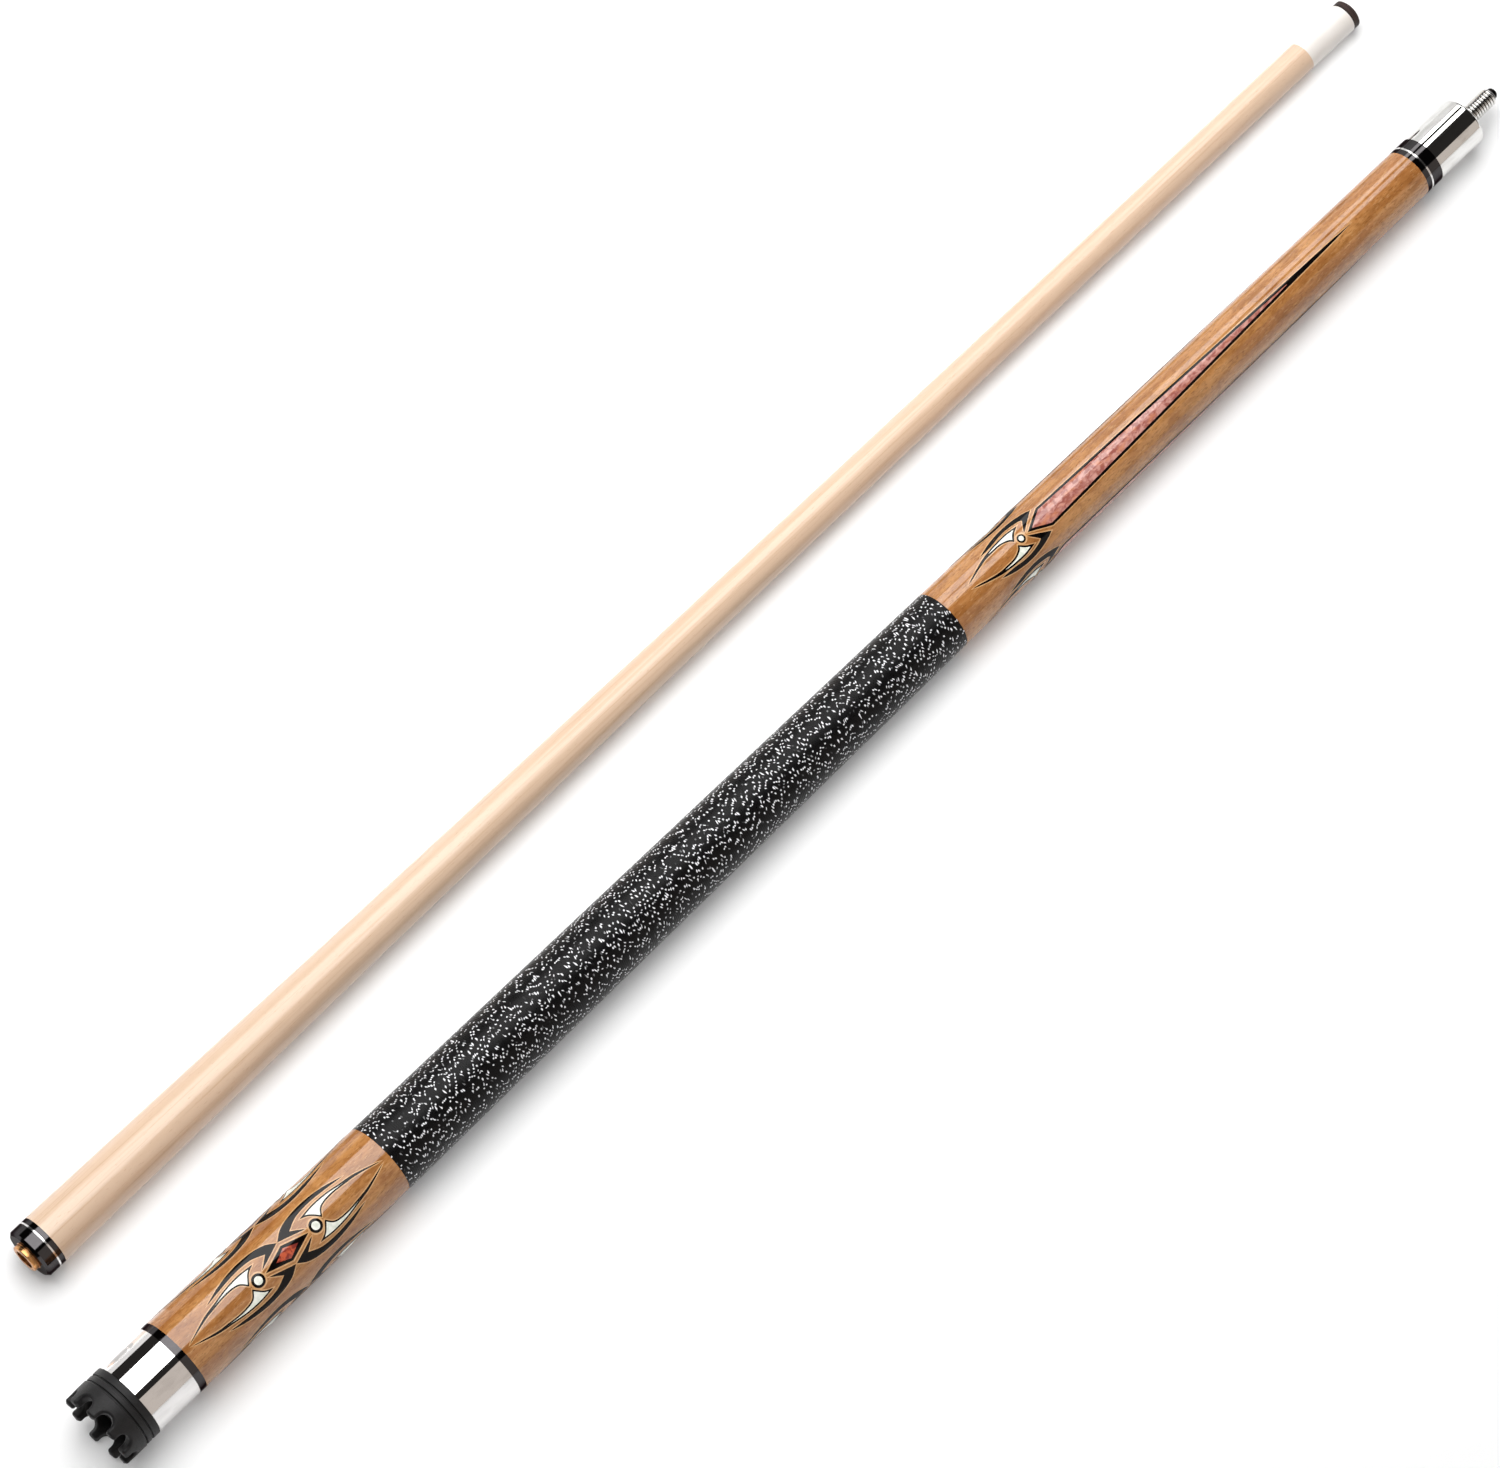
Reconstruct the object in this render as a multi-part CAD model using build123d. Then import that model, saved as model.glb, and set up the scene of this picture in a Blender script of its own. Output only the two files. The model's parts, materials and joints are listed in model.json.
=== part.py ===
"""A two-piece pool cue, taken apart, with its two halves lying side by side.

The cue is drawn assembled first. Its axis is X, the joint between the halves is the plane
x = 0, the shaft runs towards +X and the butt towards -X. Each half is then laid down: both
point towards +X, the shaft on the +Y side, and both dip towards +X by the same small angle,
because each one is thicker at its -X end. All lengths are in millimetres.
"""

import os
from math import asin, cos, radians, sin

from build123d import *

# --- driving dimensions: the shaft -------------------------------------------------------
JOINT_RADIUS = 10.8
SHAFT_LENGTH = 736.6
TIP_RADIUS = 6.4
TIP_SIDE = 3.1
TIP_DOME_RADIUS = 10.6
FERRULE_LENGTH = 25.0
FERRULE_TENON_RADIUS = 4.2
FERRULE_CAP = 4.0
TAPER_POWER = 2.1
TAPER_STEPS = 8
COLLAR_WIDE = 5.5
COLLAR_SILVER = 0.7
COLLAR_NARROW = 2.2
COLLAR_BEVEL = 1.1
COLLAR_END_WALL = 1.5
SHAFT_TENON_RADIUS = 8.4

# --- driving dimensions: the screw between the halves ------------------------------------
THREAD_CREST_RADIUS = 3.97
THREAD_ROOT_RADIUS = 3.12
THREADS_PER_INCH = 18
THREAD_PITCH = 25.4 / THREADS_PER_INCH
THREAD_CREST_WIDTH = 0.22
THREAD_ROOT_WIDTH = 1.15
THREAD_LEAD_IN = 2.4
PIN_REACH = 18.8
PIN_NOSE_RADIUS = 2.5
PIN_NOSE_LENGTH = 1.9
PIN_SHANK_RADIUS = 3.9
PIN_SHANK_END = 46.0
THREAD_TURNS = 13
THREAD_TRAVEL = THREAD_TURNS * THREAD_PITCH
RUNNING_CLEARANCE = 0.05
INSERT_RADIUS = 6.2
INSERT_LENGTH = 30.0
INSERT_BORE_RADIUS = THREAD_CREST_RADIUS + RUNNING_CLEARANCE
INSERT_BORE_DEPTH = 24.0
PILOT_RADIUS = 5.85
PILOT_LENGTH = 2.2
PILOT_ROOM = 0.4

# --- driving dimensions: the butt, as distances behind the joint ---------------------------
JOINT_COLLAR_LENGTH = 25.4
JOINT_COLLAR_WALL = 6.0
JOINT_COLLAR_EDGE = 1.3
RING_WIDE = 5.4
RING_SILVER = 0.8
RING_NARROW = 2.6
FOREARM_LENGTH = 273.2
WRAP_LENGTH = 304.8
WRAP_THICKNESS = 0.6
SLEEVE_LENGTH = 104.3
BUTT_RING = 3.3
CAP_LENGTH = 20.2
BUMPER_LENGTH = 16.6
BUTT_RADIUS = 15.8
BUTT_CROWN = 0.2
FOREARM_TENON_RADIUS = 7.0
STUD_RADIUS = 4.0
STUD_LENGTH = 58.0
CORE_TENON_RADIUS = 8.0
CORE_TENON_LENGTH = 20.0
CORE_TAIL_RADIUS = 9.5
CORE_TAIL_INTO_CAP = 8.0
WEIGHT_RADIUS = 5.0
WEIGHT_LENGTH = 58.0
WEIGHT_HOLE_DEPTH = 88.0
WEIGHT_REST_GAP = THREAD_TRAVEL + 6.5
WEIGHT_HEX = 5.0
WEIGHT_HEX_DEPTH = 6.0
WEIGHT_CLEARANCE = 0.08

# --- driving dimensions: the bumper ---------------------------------------------------------
BUMPER_RADIUS = 16.1
BUMPER_LIP_RADIUS = 15.9
BUMPER_GROOVE_RADIUS = 15.2
BUMPER_LIP = 3.1
BUMPER_RIB = 2.2
BUMPER_GROOVE = 0.7
BUMPER_FLOOR = 8.0
BUMPER_CAVITY_RADIUS = 12.0
BUMPER_STEM_RADIUS = 7.0
BUMPER_STEM_LENGTH = 10.5
BUMPER_TEETH = 9
NOTCH_TURN = 15  # degrees from the top round towards the side away from the shaft
NOTCH_RADIUS = 3.0
NOTCH_DEPTH = 5.1
TOOTH_ROUND = 1.05
RIB_ROUND = 0.3

# --- driving dimensions: how the halves lie -------------------------------------------------
HALF_SPACING = 68.1
BUTT_AHEAD = 725.7
REST_SLOPE = 0.37

# --- stations along the butt, worked out from the lengths -----------------------------------
RING_WIDE_FRONT = -JOINT_COLLAR_LENGTH
RING_SILVER_FRONT = RING_WIDE_FRONT - RING_WIDE
RING_NARROW_FRONT = RING_SILVER_FRONT - RING_SILVER
FOREARM_FRONT = RING_NARROW_FRONT - RING_NARROW
WRAP_FRONT = FOREARM_FRONT - FOREARM_LENGTH
SLEEVE_FRONT = WRAP_FRONT - WRAP_LENGTH
BUTT_RING_FRONT = SLEEVE_FRONT - SLEEVE_LENGTH
CAP_FRONT = BUTT_RING_FRONT - BUTT_RING
CAP_BACK = CAP_FRONT - CAP_LENGTH
BUMPER_BACK = CAP_BACK - BUMPER_LENGTH
CORE_BACK = CAP_FRONT - CORE_TAIL_INTO_CAP
COUNTERBORE_FLOOR = -(PILOT_LENGTH + PILOT_ROOM)

# --- stations along the shaft -----------------------------------------------------------------
SHAFT_WOOD_BACK = COLLAR_WIDE + COLLAR_SILVER + COLLAR_NARROW
TIP_DOME_HEIGHT = TIP_DOME_RADIUS - (TIP_DOME_RADIUS**2 - TIP_RADIUS**2) ** 0.5
TIP_BACK = SHAFT_LENGTH - TIP_DOME_HEIGHT - TIP_SIDE
FERRULE_BACK = TIP_BACK - FERRULE_LENGTH


def shaft_radius(x):
    """Outer radius of the shaft: a slim playing end that swells smoothly to the joint."""
    remaining = (FERRULE_BACK - x) / (FERRULE_BACK - SHAFT_WOOD_BACK)
    return TIP_RADIUS + (JOINT_RADIUS - TIP_RADIUS) * max(remaining, 0.0) ** TAPER_POWER


def butt_radius(x):
    """Outer radius of the butt: a straight taper with a very slight crown."""
    share = (RING_WIDE_FRONT - x) / (RING_WIDE_FRONT - BUTT_RING_FRONT)
    share = min(max(share, 0.0), 1.0)
    straight = JOINT_RADIUS + (BUTT_RADIUS - JOINT_RADIUS) * share
    return straight + 4 * BUTT_CROWN * share * (1 - share)


def turned(outline):
    """A solid of revolution about the cue's axis, from (place along the axis, radius) corners."""
    return revolve(make_face(Polyline(*outline, close=True)), Axis.X, 360)


def tube(front, back, outer, inner):
    """A straight ring or tube with a constant outer and inner radius."""
    return turned([(front, inner), (front, outer), (back, outer), (back, inner)])


def rod(front, back, radius):
    """A plain round rod on the cue's axis."""
    return turned([(front, 0), (front, radius), (back, radius), (back, 0)])


def butt_shell(front, back, inner):
    """A tapered ring that follows the butt's outside between two stations."""
    outer_front = butt_radius(front)
    outer_back = butt_radius(back)
    return turned([(front, inner), (front, outer_front), (back, outer_back), (back, inner)])


# --- the shaft half ---------------------------------------------------------------------------
def make_tip():
    """Leather tip: a short cylinder closed by a shallow dome."""
    shoulder = SHAFT_LENGTH - TIP_DOME_HEIGHT
    dome_centre = SHAFT_LENGTH - TIP_DOME_RADIUS
    half_angle = asin(TIP_RADIUS / TIP_DOME_RADIUS) / 2
    crest = (
        dome_centre + TIP_DOME_RADIUS * cos(half_angle),
        TIP_DOME_RADIUS * sin(half_angle),
    )
    dome = ThreePointArc((shoulder, TIP_RADIUS), crest, (SHAFT_LENGTH, 0))
    side = Polyline((SHAFT_LENGTH, 0), (TIP_BACK, 0), (TIP_BACK, TIP_RADIUS), (shoulder, TIP_RADIUS))
    return revolve(make_face([dome, side]), Axis.X, 360)


def make_ferrule():
    """White ferrule: a sleeve with a closed front end, glued over the shaft's tenon."""
    socket_end = TIP_BACK - FERRULE_CAP
    return rod(FERRULE_BACK, TIP_BACK, TIP_RADIUS) - rod(
        FERRULE_BACK, socket_end, FERRULE_TENON_RADIUS
    )


def make_shaft_wood():
    """Maple shaft with its long taper, a tenon for the ferrule and one for the collar."""
    length = FERRULE_BACK - SHAFT_WOOD_BACK
    stations = [SHAFT_WOOD_BACK + length * i / TAPER_STEPS for i in range(TAPER_STEPS + 1)]
    taper = Spline(*[(x, shaft_radius(x)) for x in stations])
    tenon_end = TIP_BACK - FERRULE_CAP
    ends = Polyline(
        (FERRULE_BACK, TIP_RADIUS),
        (FERRULE_BACK, FERRULE_TENON_RADIUS),
        (tenon_end, FERRULE_TENON_RADIUS),
        (tenon_end, 0),
        (INSERT_LENGTH, 0),
        (INSERT_LENGTH, INSERT_RADIUS),
        (COLLAR_END_WALL, INSERT_RADIUS),
        (COLLAR_END_WALL, SHAFT_TENON_RADIUS),
        (SHAFT_WOOD_BACK, SHAFT_TENON_RADIUS),
        (SHAFT_WOOD_BACK, JOINT_RADIUS),
    )
    return revolve(make_face([taper, ends]), Axis.X, 360)


def make_shaft_collar():
    """Wide black collar at the joint: a cup over the wood's tenon, with a bevelled end."""
    return turned(
        [
            (0, INSERT_RADIUS),
            (0, JOINT_RADIUS - COLLAR_BEVEL),
            (COLLAR_BEVEL, JOINT_RADIUS),
            (COLLAR_WIDE, JOINT_RADIUS),
            (COLLAR_WIDE, SHAFT_TENON_RADIUS),
            (COLLAR_END_WALL, SHAFT_TENON_RADIUS),
            (COLLAR_END_WALL, INSERT_RADIUS),
        ]
    )


def make_shaft_insert():
    """Brass insert: a bored plug in the shaft with a pilot boss that stands out of it."""
    plug = rod(0, INSERT_LENGTH, INSERT_RADIUS)
    boss = rod(-PILOT_LENGTH, 0, PILOT_RADIUS)
    rim = boss.edges().group_by(Axis.X)[0]
    boss = chamfer(rim, 0.3)
    return plug + boss - rod(-PILOT_LENGTH, INSERT_BORE_DEPTH, INSERT_BORE_RADIUS)


# --- the butt half ----------------------------------------------------------------------------
def thread_ridge(length):
    """One helical ridge of triangular section, wound right-handed about Z from z = 0."""
    overlap = 0.1
    slope = (THREAD_ROOT_WIDTH - THREAD_CREST_WIDTH) / (THREAD_CREST_RADIUS - THREAD_ROOT_RADIUS)
    base_width = THREAD_ROOT_WIDTH + overlap * slope
    base_radius = THREAD_ROOT_RADIUS - overlap
    path = Helix(THREAD_PITCH, length, base_radius)
    section = Plane.XZ * make_face(
        Polyline(
            (base_radius, -base_width / 2),
            (THREAD_CREST_RADIUS, -THREAD_CREST_WIDTH / 2),
            (THREAD_CREST_RADIUS, THREAD_CREST_WIDTH / 2),
            (base_radius, base_width / 2),
            close=True,
        )
    )
    return sweep(section, path=path, is_frenet=True)


def make_joint_pin():
    """Steel joint pin: a plain shank in the forearm, a screw thread and a smooth nose."""
    thread_start = COUNTERBORE_FLOOR - JOINT_COLLAR_WALL / 2
    thread_end = PIN_REACH - PIN_NOSE_LENGTH
    ridge_start = thread_start + THREAD_PITCH / 2
    ridge_length = thread_end - thread_start - THREAD_PITCH
    ridge = Pos(ridge_start, 0, 0) * Rotation(0, 90, 0) * thread_ridge(ridge_length)
    trim_radius = THREAD_CREST_RADIUS + 0.5
    trim = turned(
        [
            (thread_start, 0),
            (thread_start, trim_radius),
            (thread_end - THREAD_LEAD_IN, trim_radius),
            (thread_end, PIN_NOSE_RADIUS),
            (thread_end, 0),
        ]
    )
    core = turned(
        [
            (-PIN_SHANK_END, 0),
            (-PIN_SHANK_END, PIN_SHANK_RADIUS),
            (thread_start, PIN_SHANK_RADIUS),
            (thread_start, THREAD_ROOT_RADIUS),
            (thread_end, THREAD_ROOT_RADIUS),
            (thread_end, PIN_NOSE_RADIUS),
            (PIN_REACH, PIN_NOSE_RADIUS),
            (PIN_REACH, 0),
        ]
    )
    core = fillet(core.edges().group_by(Axis.X)[-1], PIN_NOSE_LENGTH * 0.8)
    return core + (ridge & trim)


def make_joint_collar():
    """Polished steel collar over the forearm's tenon, with a recess for the pilot boss."""
    shell = rod(RING_WIDE_FRONT + RUNNING_CLEARANCE, 0, JOINT_RADIUS)
    outer_edge = shell.edges().group_by(Axis.X)[-1]
    shell = fillet(outer_edge, JOINT_COLLAR_EDGE)
    tenon_room = rod(
        RING_WIDE_FRONT, -JOINT_COLLAR_WALL, FOREARM_TENON_RADIUS + RUNNING_CLEARANCE
    )
    pin_room = rod(-JOINT_COLLAR_WALL, 0, THREAD_CREST_RADIUS + RUNNING_CLEARANCE)
    recess = rod(COUNTERBORE_FLOOR, 0, PILOT_RADIUS + RUNNING_CLEARANCE)
    return shell - tenon_room - pin_room - recess


def make_forearm():
    """Front wood of the butt, bored for the joint pin in front and for the core behind."""
    tenon_front = -(JOINT_COLLAR_WALL + RUNNING_CLEARANCE)
    body = turned(
        [
            (tenon_front, 0),
            (tenon_front, FOREARM_TENON_RADIUS),
            (FOREARM_FRONT, FOREARM_TENON_RADIUS),
            (FOREARM_FRONT, butt_radius(FOREARM_FRONT)),
            (WRAP_FRONT, butt_radius(WRAP_FRONT)),
            (WRAP_FRONT, 0),
        ]
    )
    pin_hole = rod(-PIN_SHANK_END, tenon_front, PIN_SHANK_RADIUS)
    core_socket = rod(WRAP_FRONT, WRAP_FRONT + CORE_TENON_LENGTH, CORE_TENON_RADIUS)
    stud_hole = rod(WRAP_FRONT, WRAP_FRONT + CORE_TENON_LENGTH + STUD_LENGTH / 2, STUD_RADIUS)
    return body - pin_hole - core_socket - stud_hole


def make_forearm_stud():
    """Steel stud that draws the forearm and the handle core together."""
    middle = WRAP_FRONT + CORE_TENON_LENGTH
    stud = rod(middle - STUD_LENGTH / 2, middle + STUD_LENGTH / 2, STUD_RADIUS)
    ends = stud.edges().group_by(Axis.X)
    return chamfer(ends[0] + ends[-1], 0.6)


def make_handle_core():
    """Wooden handle under the wrap, running on through the sleeve and into the cap."""
    front = WRAP_FRONT + CORE_TENON_LENGTH
    body = turned(
        [
            (front, 0),
            (front, CORE_TENON_RADIUS),
            (WRAP_FRONT, CORE_TENON_RADIUS),
            (WRAP_FRONT, butt_radius(WRAP_FRONT) - WRAP_THICKNESS),
            (SLEEVE_FRONT, butt_radius(SLEEVE_FRONT) - WRAP_THICKNESS),
            (SLEEVE_FRONT, CORE_TAIL_RADIUS),
            (CORE_BACK, CORE_TAIL_RADIUS),
            (CORE_BACK, 0),
        ]
    )
    stud_hole = rod(front - STUD_LENGTH / 2, front, STUD_RADIUS)
    weight_hole = rod(CORE_BACK, CORE_BACK + WEIGHT_HOLE_DEPTH, WEIGHT_RADIUS + WEIGHT_CLEARANCE)
    return body - stud_hole - weight_hole


def make_wrap():
    """Linen wrap: a thin sleeve of wound thread, flush with the wood at both ends."""
    front = butt_radius(WRAP_FRONT)
    back = butt_radius(SLEEVE_FRONT)
    return turned(
        [
            (WRAP_FRONT, front - WRAP_THICKNESS),
            (WRAP_FRONT, front),
            (SLEEVE_FRONT, back),
            (SLEEVE_FRONT, back - WRAP_THICKNESS),
        ]
    )


def make_butt_cap():
    """Chromed cap with a blind seat for the core in front and a socket for the bumper."""
    shell = rod(CAP_BACK, CAP_FRONT, BUTT_RADIUS)
    core_seat = rod(CORE_BACK, CAP_FRONT, CORE_TAIL_RADIUS)
    socket = rod(CAP_BACK, CORE_BACK, BUMPER_STEM_RADIUS + RUNNING_CLEARANCE)
    return shell - core_seat - socket


def make_weight_bolt():
    """Steel weight bolt in the handle core, with a hexagon socket that faces the bumper."""
    back = CORE_BACK + WEIGHT_REST_GAP
    bolt = rod(back, back + WEIGHT_LENGTH, WEIGHT_RADIUS)
    ends = bolt.edges().group_by(Axis.X)
    bolt = chamfer(ends[0] + ends[-1], 0.6)
    hexagon = RegularPolygon(WEIGHT_HEX / 2, 6, major_radius=False)
    socket = Pos(back, 0, 0) * Rotation(0, 90, 0) * extrude(hexagon, WEIGHT_HEX_DEPTH)
    return bolt - socket


def notch(angle):
    """One arched cut through the bumper's wall, open towards its back end."""
    reach = BUMPER_RADIUS + 2
    arch_centre = BUMPER_BACK + NOTCH_DEPTH - NOTCH_RADIUS
    arch = Pos(arch_centre, 0, reach / 2) * Cylinder(NOTCH_RADIUS, reach)
    mouth_length = arch_centre - BUMPER_BACK + 1
    mouth = Pos(arch_centre - mouth_length / 2, 0, reach / 2) * Box(
        mouth_length, 2 * NOTCH_RADIUS, reach
    )
    return Rotation(angle, 0, 0) * (arch + mouth)


def make_bumper():
    """Rubber bumper: two ribs, then a crown of rounded teeth; a stem plugs into the cap."""
    lip_back = CAP_BACK - BUMPER_LIP
    rib_front = lip_back - BUMPER_GROOVE
    rib_back = rib_front - BUMPER_RIB
    body_front = rib_back - BUMPER_GROOVE
    front = CAP_BACK - RUNNING_CLEARANCE
    body = turned(
        [
            (front, 0),
            (front, BUMPER_LIP_RADIUS),
            (lip_back, BUMPER_LIP_RADIUS),
            (lip_back, BUMPER_GROOVE_RADIUS),
            (rib_front, BUMPER_GROOVE_RADIUS),
            (rib_front, BUMPER_LIP_RADIUS),
            (rib_back, BUMPER_LIP_RADIUS),
            (rib_back, BUMPER_GROOVE_RADIUS),
            (body_front, BUMPER_GROOVE_RADIUS),
            (body_front, BUMPER_RADIUS),
            (BUMPER_BACK, BUMPER_RADIUS),
            (BUMPER_BACK, BUMPER_CAVITY_RADIUS),
            (CAP_BACK - BUMPER_FLOOR, BUMPER_CAVITY_RADIUS),
            (CAP_BACK - BUMPER_FLOOR, 0),
        ]
    )
    rims = [
        edge
        for edge in body.edges().filter_by(GeomType.CIRCLE)
        if edge.radius > BUMPER_GROOVE_RADIUS + 0.01 and edge.center().X > BUMPER_BACK + 1
    ]
    body = fillet(rims, RIB_ROUND)
    for i in range(BUMPER_TEETH):
        body -= notch(360 * i / BUMPER_TEETH)
    crown_edges = [
        edge for edge in body.edges() if edge.center().X < BUMPER_BACK + NOTCH_DEPTH + 0.2
    ]
    body = Rotation(NOTCH_TURN, 0, 0) * fillet(crown_edges, TOOTH_ROUND)
    stem_back = CAP_BACK + BUMPER_STEM_LENGTH
    stem = rod(front, stem_back, BUMPER_STEM_RADIUS)
    stem = chamfer(stem.edges().group_by(Axis.X)[-1], 0.8)
    return body + stem


SHAFT_PIECES = {
    "tip": make_tip(),
    "ferrule": make_ferrule(),
    "shaft_wood": make_shaft_wood(),
    "shaft_ring_narrow": tube(
        COLLAR_WIDE + COLLAR_SILVER, SHAFT_WOOD_BACK, JOINT_RADIUS, SHAFT_TENON_RADIUS
    ),
    "shaft_ring_silver": tube(
        COLLAR_WIDE, COLLAR_WIDE + COLLAR_SILVER, JOINT_RADIUS, SHAFT_TENON_RADIUS
    ),
    "shaft_collar": make_shaft_collar(),
    "shaft_insert": make_shaft_insert(),
}

BUTT_PIECES = {
    "joint_pin": make_joint_pin(),
    "joint_collar": make_joint_collar(),
    "joint_ring_wide": butt_shell(RING_WIDE_FRONT, RING_SILVER_FRONT, FOREARM_TENON_RADIUS),
    "joint_ring_silver": butt_shell(RING_SILVER_FRONT, RING_NARROW_FRONT, FOREARM_TENON_RADIUS),
    "joint_ring_narrow": butt_shell(RING_NARROW_FRONT, FOREARM_FRONT, FOREARM_TENON_RADIUS),
    "forearm": make_forearm(),
    "forearm_stud": make_forearm_stud(),
    "handle_core": make_handle_core(),
    "wrap": make_wrap(),
    "butt_sleeve": butt_shell(SLEEVE_FRONT, BUTT_RING_FRONT, CORE_TAIL_RADIUS),
    "butt_ring": tube(BUTT_RING_FRONT, CAP_FRONT, BUTT_RADIUS, CORE_TAIL_RADIUS),
    "butt_cap": make_butt_cap(),
    "weight_bolt": make_weight_bolt(),
    "bumper": make_bumper(),
}


# --- laying the halves down ---------------------------------------------------------------------
def rest_height(stations):
    """Height of the joint point at which the lowest of some (place, radius) stations is at 0."""
    dip = radians(REST_SLOPE)
    return max(x * sin(dip) + r * cos(dip) for x, r in stations)


SHAFT_STATIONS = [(COLLAR_BEVEL, JOINT_RADIUS), (SHAFT_LENGTH - TIP_DOME_HEIGHT, TIP_RADIUS)]
BUTT_STATIONS = [
    (-JOINT_COLLAR_EDGE, JOINT_RADIUS),
    (WRAP_FRONT, butt_radius(WRAP_FRONT)),
    (SLEEVE_FRONT, butt_radius(SLEEVE_FRONT)),
    (BUMPER_BACK + TOOTH_ROUND, BUMPER_RADIUS),
]
DIP = Rotation(0, REST_SLOPE, 0)
SHAFT_LIES = Pos(0, HALF_SPACING / 2, rest_height(SHAFT_STATIONS)) * DIP
BUTT_LIES = Pos(BUTT_AHEAD, -HALF_SPACING / 2, rest_height(BUTT_STATIONS)) * DIP

laid_out = {name: SHAFT_LIES * piece for name, piece in SHAFT_PIECES.items()}
laid_out.update({name: BUTT_LIES * piece for name, piece in BUTT_PIECES.items()})

# The origin is the middle of the whole layout's footprint, at floor level.
whole = Compound(children=[Compound(list(piece.solids())) for piece in laid_out.values()])
box = whole.bounding_box()
TO_ORIGIN = Pos(-box.center().X, -box.center().Y, -box.min.Z)

if __name__ == "__main__":
    os.makedirs("parts", exist_ok=True)
    for name, piece in laid_out.items():
        export_step(TO_ORIGIN * piece, f"parts/{name}.step")
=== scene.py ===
"""Looks of a two-piece pool cue: materials, linen winding, printed transfers, light and camera."""

import json
import math

import bpy
import numpy as np
from mathutils import Matrix, Vector
from mathutils.geometry import delaunay_2d_cdt

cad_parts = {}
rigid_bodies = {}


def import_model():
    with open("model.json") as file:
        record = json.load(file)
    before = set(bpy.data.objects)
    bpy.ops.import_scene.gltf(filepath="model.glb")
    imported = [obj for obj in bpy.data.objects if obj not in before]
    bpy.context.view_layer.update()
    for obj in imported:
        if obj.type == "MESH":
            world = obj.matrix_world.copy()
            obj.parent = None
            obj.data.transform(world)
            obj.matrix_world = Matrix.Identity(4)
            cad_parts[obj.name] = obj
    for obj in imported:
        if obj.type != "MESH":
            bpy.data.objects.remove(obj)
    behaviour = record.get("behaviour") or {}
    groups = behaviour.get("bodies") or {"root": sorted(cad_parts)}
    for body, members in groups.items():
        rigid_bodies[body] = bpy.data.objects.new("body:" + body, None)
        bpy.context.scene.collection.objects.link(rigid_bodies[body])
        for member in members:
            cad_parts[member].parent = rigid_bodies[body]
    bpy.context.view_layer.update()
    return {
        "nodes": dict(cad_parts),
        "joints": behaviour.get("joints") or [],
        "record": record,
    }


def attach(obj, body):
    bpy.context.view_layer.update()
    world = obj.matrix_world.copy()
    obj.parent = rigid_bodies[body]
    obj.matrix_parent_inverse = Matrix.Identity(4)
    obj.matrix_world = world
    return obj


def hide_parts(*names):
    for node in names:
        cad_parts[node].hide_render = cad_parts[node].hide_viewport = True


for default in list(bpy.data.objects):
    bpy.data.objects.remove(default)
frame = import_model()

# Metres in a millimetre. The object's own sizes below are in mm, and the stage's are in metres.
MM = 0.001

# ---- Where the two halves lie. Stations run along the cue in mm, ahead of the joint plane. ----
JOINTS = {joint["name"]: joint for joint in frame["joints"]}
MOUNTS = {mount["name"]: mount for mount in frame["record"]["mounts"]}
BUTT_ORIGIN = Vector(JOINTS["thread_spin"]["pos_m"])
SHAFT_ORIGIN = Vector(MOUNTS["shaft_joint_bore"]["pos_m"])
FORWARD = Vector(JOINTS["thread_spin"]["axis"]).normalized()
SIDE = Vector((0, -1, 0))
UP = FORWARD.cross(SIDE).normalized()
if UP.z < 0:
    UP.negate()
TILT = math.atan2(-FORWARD.z, FORWARD.x)

# ---- Outline of the butt, as in the CAD: a straight taper with a slight crown. ----
JOINT_RADIUS = 10.8
REAR_RADIUS = 15.8
TAPER_FRONT = -25.4
TAPER_BACK = -716.5
CROWN = 0.2

# ---- Joint pin: stations, pitch and radii ----
PIN_BACK = -46.0
PIN_SHANK_FRONT = -5.65
PIN_THREAD_BACK = -5.6
PIN_THREAD_FRONT = 16.9
PIN_NOSE_BACK = 17.0
PIN_FRONT = 18.8
PIN_PITCH = 25.4 / 18
PIN_SHANK_RADIUS = 3.9
PIN_ROOT_RADIUS = 3.12
# The pin's colour is painted shade below the first radius and bare steel above the second.
PIN_GROOVE_SHADE_RADIUS = 3.17
PIN_UNSHADED_RADIUS = 3.62
PIN_CREST_RADIUS = 3.97
PIN_LEAD_IN = 2.4
PIN_CONE_RADIUS = 4.47
PIN_NOSE_RADIUS = 2.5
PIN_NOSE_ROUND = 1.5
PIN_RINGS_PER_TURN = 14
PIN_NOSE_RINGS = 14
PIN_SEGMENTS = 48

# ---- Linen winding, and the flecks dyed along its thread ----
WRAP_FRONT = -307.4
WRAP_BACK = -612.2
THREAD_PITCH = 0.82
THREAD_RELIEF = 0.11
RINGS_PER_TURN = 5
WRAP_SEGMENTS = 44
FLECK_SPACING = 3.5
FLECK_LENGTH = 0.7
FLECK_WANDER = 8.0
# Shares: a fleck's shift along its beat, where its sides and ends fade, and which are dropped.
FLECK_SCATTER = 0.6
FLECK_SIDE_FROM = 0.26
FLECK_SIDE_TO = 0.46
FLECK_END_FROM = 0.6
FLECK_END_TO = 1.3
DROPPED_BELOW = 0.26
KEPT_ABOVE = 0.54

# ---- Printed transfers: lift of each layer over the wood, and widths of its lines ----
HALO_LIFT = 0.02
INK_LIFT = 0.045
FILL_LIFT = 0.07
HALO_WIDTH = 0.4
CIRCLE_HALO = 0.64
INK_WIDTH = 0.55
POINT_INK_WIDTH = 0.85
FOREARM_SPREAD = 0.2
SLEEVE_SPREAD = 0.06

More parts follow.
